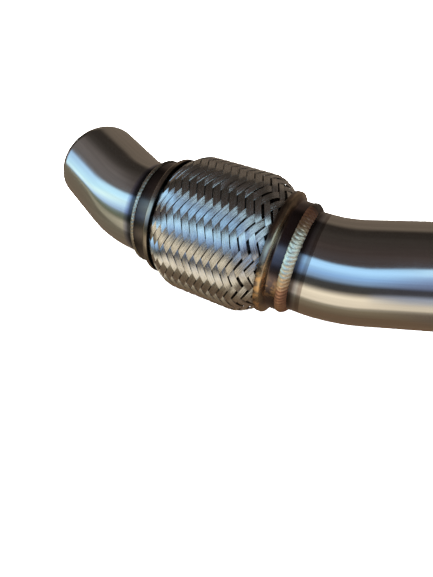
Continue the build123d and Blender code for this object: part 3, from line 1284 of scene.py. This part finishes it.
@dataclass(frozen=True)
class Bellows:
    """The gas-tight convoluted tube inside the braid."""

    coupling: Coupling
    shape: BraidShape
    convolutions: int = 10
    pitch: float = 6.8
    width: float = 3.4
    root: float = 32.45
    crest: float = 42.7
    clearance: float = 2.0
    sheet: float = 0.5
    fold: float = 1.5
    fold_steps: int = 4
    segments: int = 96
    cuff_length: float = 10.0
    cuff_flare: Triple = (11.9, 14.6, 15.3)
    flare_radius: float = 35.7

    def build(self, finish: SteelFinish) -> bpy.types.Object:
        """Makes the bellows and lets it stand for its CAD node.

        Args:
            finish: its finish.

        Returns:
            The finished object.
        """
        half = self.coupling.half_length
        foot, end, back = self.cuff_flare
        cuff = [
            (-half, self.root),
            (-half + self.cuff_length, self.root),
            (-half + foot, self.flare_radius),
            (-half + end, self.flare_radius),
            (-half + back, self.root),
        ]
        wave: list[Pair] = []
        for turn in range(self.convolutions):
            centre = (turn - (self.convolutions - 1) / 2) * self.pitch
            edge = abs(centre) + self.width / 2
            crest = min(self.crest, self.shape.radius_at(edge, half) - self.clearance)
            left, right = centre - self.width / 2, centre + self.width / 2
            wave += [(left, self.root), (left, crest), (right, crest), (right, self.root)]
        far = [(-along, radius) for along, radius in reversed(cuff)]
        outline = thickened(rounded(cuff + wave + far, self.fold, self.fold_steps), self.sheet)
        tube = TurnedPiece("bellows_tube", outline, self.coupling.place, self.segments, sharp=50.0)
        piece = tube.build(finish.material())
        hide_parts("bellows")
        return piece


@dataclass(frozen=True)
class Liner:
    """The strip liner, wound so that each turn hooks into the next."""

    coupling: Coupling
    turns: int = 14
    pitch: float = 5.2
    bore_land: float = 30.1
    outer_land: float = 31.5
    hook_tip: float = 31.0
    lip_tip: float = 30.7
    web: float = 2.6
    width: float = 6.0
    sheet: float = 0.4
    fold: float = 0.35
    fold_steps: int = 2
    cuff_radius: float = 32.2
    cuff_step: Pair = (3.0, 1.4)
    cuff_overlap: float = 1.0
    cuff_fold: float = 0.8
    per_turn: int = 72

    def section(self) -> list[Pair]:
        """The closed outline of the strip."""
        line = [
            (0.0, self.hook_tip),
            (0.0, self.bore_land),
            (self.web, self.bore_land),
            (self.web, self.outer_land),
            (self.width, self.outer_land),
            (self.width, self.lip_tip),
        ]
        return thickened(rounded(line, self.fold, self.fold_steps), self.sheet)

    def build(self, finish: SteelFinish) -> bpy.types.Object:
        """Makes the strip and its two cuffs and lets them stand for their CAD node.

        Args:
            finish: the liner's finish.

        Returns:
            The finished object.
        """
        section = self.section()
        count = len(section)
        total = self.turns * self.per_turn
        first = -self.turns / 2 * self.pitch - self.width / 2
        shell = Shell()
        for step in range(total + 1):
            advance = first + self.pitch * step / self.per_turn
            ring = [(advance + along, radius) for along, radius in section]
            shell.add_ring(ring, self.coupling.place, FULL_TURN * step / self.per_turn)
        shell.join_rings(0, total + 1, count, closed=False)
        shell.faces.append(tuple(range(count)))
        shell.faces.append(tuple(range(total * count, (total + 1) * count)))
        for end in End:
            self._add_cuff(shell, end, first)
        piece = finished_object("liner_strip", shell.mesh("liner_strip"), finish.material(), sharp=50.0)
        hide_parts("liner")
        return piece

    def _add_cuff(self, shell: Shell, end: End, first: float) -> None:
        """Adds the plain sleeve that holds one end of the strip on its tube.

        Args:
            shell: the liner so far.
            end: the end that the sleeve is at.
            first: where the strip starts.
        """
        radius = self.coupling.tube_radius + self.sheet / 2
        tip = -first - self.pitch / 2
        line = [
            (self.coupling.half_length, radius),
            (tip + self.cuff_step[0], radius),
            (tip + self.cuff_step[1], self.cuff_radius),
            (tip - self.cuff_overlap, self.cuff_radius),
        ]
        sheet = thickened(rounded(line, self.cuff_fold, self.fold_steps), self.sheet)
        outline = [(end.value * along, radius) for along, radius in sheet]
        start = len(shell.places)
        for step in range(self.per_turn):
            shell.add_ring(outline, self.coupling.place, FULL_TURN * step / self.per_turn)
        shell.join_rings(start, self.per_turn, len(outline))


@dataclass(frozen=True)
class Lamp:
    """A square area light that isn't seen in the steel."""

    name: str
    offset: Triple
    size: float
    power: float
    colour: Colour

    def build(self, middle: Vector) -> None:
        """Adds the light, pointed at the coupling.

        Args:
            middle: the coupling's middle, in metres.
        """
        data = bpy.data.lights.new(self.name, "AREA")
        data.shape = "SQUARE"
        data.size = self.size * MM
        data.energy = self.power
        data.color = self.colour
        lamp = bpy.data.objects.new(self.name, data)
        bpy.context.scene.collection.objects.link(lamp)
        lamp.location = middle + Vector(self.offset) * MM
        lamp.rotation_mode = "QUATERNION"
        lamp.rotation_quaternion = (-Vector(self.offset)).to_track_quat("-Z", "Y")
        lamp.visible_glossy = False


@dataclass(frozen=True)
class Studio:
    """The floor, the lights and the camera."""

    coupling: Coupling
    camera_offset: Triple = (98.40, -47.49, 268.25)
    camera_right: Triple = (0.88214, 0.37583, -0.28390)
    camera_up: Triple = (-0.34395, 0.92583, 0.15682)
    camera_back: Triple = (0.32175, -0.04069, 0.94597)
    lens: float = 27.14
    sensor: float = 36.0
    clip_start: float = 0.01
    floor_reach: float = 3.0
    lamps: tuple[Lamp, ...] = (
        Lamp("key", offset=(-250, 500, 900), size=700, power=60.0, colour=(1.0, 0.99, 0.97)),
        Lamp("fill", offset=(600, -500, 800), size=800, power=38.0, colour=(0.95, 0.97, 1.0)),
    )
    room: Colour = (0.90, 0.91, 0.92)
    band_heading: float = 8.0
    low_bands: Stops = (
        (-180.0, (0.115, 0.075, 0.048)),
        (-125.0, (0.120, 0.080, 0.050)),
        (-101.0, (0.170, 0.138, 0.092)),
        (-92.0, (0.28, 0.25, 0.19)),
        (-88.0, (0.74, 0.65, 0.51)),
        (-66.0, (0.82, 0.73, 0.57)),
        (-59.0, (0.36, 0.32, 0.26)),
        (-53.0, (0.045, 0.042, 0.038)),
        (-39.0, (0.040, 0.042, 0.044)),
        (-33.0, (0.19, 0.29, 0.44)),
        (-22.0, (0.25, 0.45, 0.77)),
        (-12.0, (0.39, 0.68, 1.00)),
        (35.0, (0.39, 0.68, 1.00)),
        (65.0, (0.115, 0.075, 0.048)),
        (180.0, (0.115, 0.075, 0.048)),
    )
    far_bands: Stops = (
        (-180.0, (0.120, 0.093, 0.067)),
        (-125.0, (0.140, 0.120, 0.087)),
        (-92.0, (0.12, 0.11, 0.08)),
        (-88.0, (0.28, 0.26, 0.19)),
        (-66.0, (0.28, 0.27, 0.20)),
        (-57.0, (0.10, 0.11, 0.065)),
        (-42.0, (0.16, 0.20, 0.17)),
        (-34.0, (0.36, 0.52, 0.78)),
        (-22.0, (0.56, 0.82, 1.00)),
        (-10.0, (0.74, 1.00, 1.00)),
        (2.0, (0.52, 0.84, 1.00)),
        (14.0, (0.50, 0.80, 1.00)),
        (35.0, (0.34, 0.54, 0.84)),
        (65.0, (0.115, 0.085, 0.060)),
        (180.0, (0.115, 0.085, 0.060)),
    )
    high_bands: Stops = (
        (-180.0, (0.060, 0.052, 0.056)),
        (8.0, (0.058, 0.050, 0.052)),
        (30.0, (0.048, 0.036, 0.033)),
        (60.0, (0.034, 0.028, 0.024)),
        (88.0, (0.020, 0.016, 0.013)),
        (97.0, (0.125, 0.100, 0.078)),
        (180.0, (0.125, 0.095, 0.072)),
    )
    far_high_bands: Stops = (
        (-180.0, (0.12, 0.11, 0.11)),
        (35.0, (0.12, 0.11, 0.11)),
        (57.0, (0.12, 0.105, 0.10)),
        (68.0, (0.034, 0.029, 0.025)),
        (88.0, (0.025, 0.020, 0.017)),
        (97.0, (0.125, 0.100, 0.078)),
        (180.0, (0.125, 0.095, 0.072)),
    )
    near_bands: Stops = (
        (-180.0, (0.080, 0.060, 0.045)),
        (-101.0, (0.110, 0.085, 0.065)),
        (-93.0, (0.22, 0.19, 0.15)),
        (-88.0, (0.62, 0.55, 0.43)),
        (-77.0, (0.56, 0.50, 0.41)),
        (-69.0, (0.38, 0.39, 0.41)),
        (-58.0, (0.26, 0.30, 0.39)),
        (-50.0, (0.045, 0.045, 0.055)),
        (-40.0, (0.035, 0.034, 0.042)),
        (-34.0, (0.12, 0.15, 0.25)),
        (-24.0, (0.17, 0.23, 0.38)),
        (-12.0, (0.26, 0.38, 0.62)),
        (-2.0, (0.56, 0.82, 1.00)),
        (35.0, (0.60, 0.86, 1.00)),
        (65.0, (0.080, 0.060, 0.045)),
        (180.0, (0.080, 0.060, 0.045)),
    )
    near_high_bands: Stops = (
        (-180.0, (0.13, 0.16, 0.24)),
        (8.0, (0.13, 0.16, 0.24)),
        (22.0, (0.06, 0.06, 0.07)),
        (36.0, (0.046, 0.036, 0.033)),
        (60.0, (0.034, 0.028, 0.024)),
        (88.0, (0.020, 0.016, 0.013)),
        (97.0, (0.060, 0.050, 0.044)),
        (180.0, (0.080, 0.060, 0.045)),
    )
    inlet_lean: float = 0.24
    outlet_lean: float = 0.95
    outlet_lean_from: float = 0.22
    outlet_lean_over: float = 0.23
    near_from: Pair = (0.27, 0.40)
    far_from: Pair = (0.15, 0.95)
    far_high_from: Pair = (0.40, 0.65)
    edge_softness: Pair = (-0.045, 0.06)
    band_strength: float = 1.7

    def build(self) -> None:
        """Makes the floor, the lights, the world and the camera."""
        self._floor()
        self._world()
        for lamp in self.lamps:
            lamp.build(self.coupling.middle)
        self._camera()

    def _floor(self) -> None:
        """Makes the floor, out of sight of reflections, because the photo shows the part cut out."""
        mesh = bpy.data.meshes.new("floor")
        reach = self.floor_reach
        corners = [(-reach, -reach, 0), (reach, -reach, 0), (reach, reach, 0), (-reach, reach, 0)]
        mesh.from_pydata(corners, [], [(0, 1, 2, 3)])
        floor = bpy.data.objects.new("floor", mesh)
        mesh.materials.append(FloorFinish().material())
        bpy.context.scene.collection.objects.link(floor)
        floor.visible_glossy = False

    def _world(self) -> None:
        """Makes the room that the steel reflects: bands of light that run along the part."""
        world = bpy.data.worlds.new("studio")
        bpy.context.scene.world = world
        world.use_nodes = True
        graph = Graph(world.node_tree)
        direction = graph.add("ShaderNodeTexCoord")["Generated"]
        reflected = self._bands(graph, direction)
        glossy = graph.add("ShaderNodeLightPath")["Is Glossy Ray"]
        colour = graph.blend(glossy, self.room, reflected)
        strength = 1.0 + (self.band_strength - 1.0) * glossy
        light = graph.add("ShaderNodeBackground", None, {"Color": colour, "Strength": strength})[0]
        graph.add("ShaderNodeOutputWorld", None, {"Surface": light})

    def _bands(self, graph: Graph, direction: Signal) -> Signal:
        """The colour of the room in a direction.

        Args:
            graph: the world's nodes.
            direction: the direction that is looked in.

        Returns:
            The colour.
        """
        heading = math.radians(self.band_heading)
        ahead = (math.cos(heading), math.sin(heading), 0.0)
        aside = (-math.sin(heading), math.cos(heading), 0.0)
        along, side = (
            graph.vector("DOT_PRODUCT", direction, axis)["Value"] for axis in (ahead, aside)
        )
        factor = side.math("ARCTAN2", side, graph.split(direction)[2]) * (1 / FULL_TURN) + 0.5
        low, far, near, high, far_high, near_high = (
            graph.ramp(factor, [(degrees / 360 + 0.5, colour) for degrees, colour in bands])
            for bands in (
                self.low_bands,
                self.far_bands,
                self.near_bands,
                self.high_bands,
                self.far_high_bands,
                self.near_high_bands,
            )
        )
        nearness = along.ease(*self.near_from)
        low = graph.blend((-along).ease(*self.far_from), low, far)
        high = graph.blend((-along).ease(*self.far_high_from), high, far_high)
        low = graph.blend(nearness, low, near)
        high = graph.blend(nearness, high, near_high)
        edge = side + self.inlet_lean * along.limit(-1.0, 0.0)
        edge = edge - self.outlet_lean * (along - self.outlet_lean_from).limit(0.0, self.outlet_lean_over)
        return graph.blend(edge.ease(*self.edge_softness), low, high)

    def _camera(self) -> None:
        """Puts the camera where the photo was taken from."""
        data = bpy.data.cameras.new("camera")
        data.lens = self.lens
        data.sensor_width = self.sensor
        data.clip_start = self.clip_start
        camera = bpy.data.objects.new("camera", data)
        bpy.context.scene.collection.objects.link(camera)
        axes = Matrix((self.camera_right, self.camera_up, self.camera_back)).transposed()
        place = self.coupling.middle + Vector(self.camera_offset) * MM
        camera.matrix_world = Matrix.Translation(place) @ axes.to_4x4()
        bpy.context.scene.camera = camera


@dataclass(frozen=True)
class Downpipe:
    """The whole part."""

    coupling: Coupling
    shape: BraidShape = BraidShape()

    def build(self) -> None:
        """Builds every piece."""
        self._tubes()
        self._beads()
        self._collars()
        self._flexible()

    def _tubes(self) -> None:
        """Builds the two bent tubes."""
        inlet = BentTube(
            self.coupling, End.INLET, lead=5.5, bend_radius=63.5, bend_angle=26.0, run=41.5, twist=-6.0
        )
        inlet_steel = SteelFinish(
            "inlet_steel",
            INLET_TUBE_TINT,
            roughness=0.15,
            heat=Heat.FROM_WELD,
            heat_from_mm=4.0,
            heat_reach_mm=9.0,
            heat_patches=0.04,
        )
        outlet = BentTube(
            self.coupling, End.OUTLET, lead=9.0, bend_radius=95.25, bend_angle=18.5, run=140.0, twist=6.0
        )
        outlet_steel = SteelFinish(
            "outlet_steel",
            OUTLET_TUBE_TINT,
            roughness=0.12,
            heat=Heat.FROM_WELD,
            heat_from_mm=4.2,
            heat_reach_mm=11.2,
            heat_patches=0.04,
        )
        for tube, steel in ((inlet, inlet_steel), (outlet, outlet_steel)):
            LOG.info("made %s", tube.build(steel).name)

    def _beads(self) -> None:
        """Builds the two weld beads."""
        inlet = WeldBead(
            self.coupling,
            End.INLET,
            ripples=90,
            toe=2.9,
            heel=0.75,
            crown=1.15,
            ripple_height=0.25,
            crescent=-0.4,
            seed=3,
            heat_stops=((0.0, 0.25), (60.0, 0.5), (180.0, 0.6), (300.0, 0.7), (340.0, 0.5)),
        )
        inlet_steel = SteelFinish(
            "inlet_bead_steel", INLET_BEAD_TINT, 0.4, heat=Heat.ON_BEAD, heat_patches=0.9, soot=0.8
        )
        outlet = WeldBead(
            self.coupling,
            End.OUTLET,
            ripples=78,
            toe=3.9,
            heel=2.3,
            crown=0.5,
            ripple_height=0.32,
            crescent=-0.6,
            seed=8,
            heat_stops=(
                (0.0, 0.03),
                (24.0, 0.08),
                (38.0, 0.3),
                (50.0, 0.58),
                (180.0, 0.7),
                (305.0, 0.95),
                (318.0, 0.6),
                (338.0, 0.5),
                (348.0, 0.1),
            ),
            knob_height=1.0,
        )
        outlet_steel = SteelFinish(
            "outlet_bead_steel", OUTLET_BEAD_TINT, 0.42, heat=Heat.ON_BEAD, heat_patches=0.15, soot=0.3
        )
        for bead, steel in ((inlet, inlet_steel), (outlet, outlet_steel)):
            LOG.info("made %s", bead.build(steel).name)

    def _collars(self) -> None:
        """Builds both collars, each with the crushed end of the braid inside it."""
        crushed_steel = SteelFinish("crushed_steel", CRUSHED_TINT, 0.4, grain=(30.0, 900.0, 900.0))
        for end in End:
            steel = SteelFinish(
                f"{end.name.lower()}_collar_steel",
                INLET_COLLAR_TINT if end is End.INLET else OUTLET_COLLAR_TINT,
                roughness=0.22,
                grain=(40.0, 400.0, 400.0),
                streaks=(60.0, 160.0, 160.0),
                streak_depth=0.5,
                heat=Heat.FROM_WELD,
                heat_from_mm=1.0,
                heat_reach_mm=18.0,
                heat_patches=0.12,
                soot=0.25,
                painted_shadow_beyond_mm=13.5 if end is End.INLET else 0.0,
                gilt_glint_turn=50.0 if end is End.OUTLET else 0.0,
            )
            for piece in Collar(self.coupling, end).build(steel, crushed_steel):
                LOG.info("made %s", piece.name)

    def _flexible(self) -> None:
        """Builds the bellows, the liner and the two families of braid wires, and bakes their transforms.
        """
        sheet_steel = SteelFinish("sheet_steel", SHEET_TINT, 0.25)
        # the bellows is painted near black: painted shade where it shows through the braid
        sooty_steel = SteelFinish("sooty_steel", SHADED_BELLOWS_TINT, 0.35)
        wire_steel = WireFinish("wire_steel", (0.70, 0.69, 0.66), roughness=0.12, tone_spread=0.15)
        flexible = [
            Bellows(self.coupling, self.shape).build(sooty_steel),
            Liner(self.coupling).build(sheet_steel),
        ]
        braid = Braid(self.coupling, self.shape)
        flexible += [braid.build(hand, wire_steel) for hand in Hand]
        reach = self.coupling.half_length - self.coupling.collar_depth
        for piece in flexible:
            End.INLET.body
            End.OUTLET.body
            self.coupling.place(-reach, 0, 0)
            self.coupling.place(reach, 0, 0)
            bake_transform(piece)
            LOG.info("made %s", piece.name)


def main() -> None:
    """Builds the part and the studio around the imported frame."""
    logging.basicConfig(level=logging.INFO, format="%(message)s")
    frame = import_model()
    middle = Vector(frame["joints"][0]["pos_m"])
    coupling = Coupling(middle)
    Downpipe(coupling).build()
    Studio(coupling).build()
    bpy.context.scene.view_settings.view_transform = "Standard"


if __name__ == "__main__":
    main()
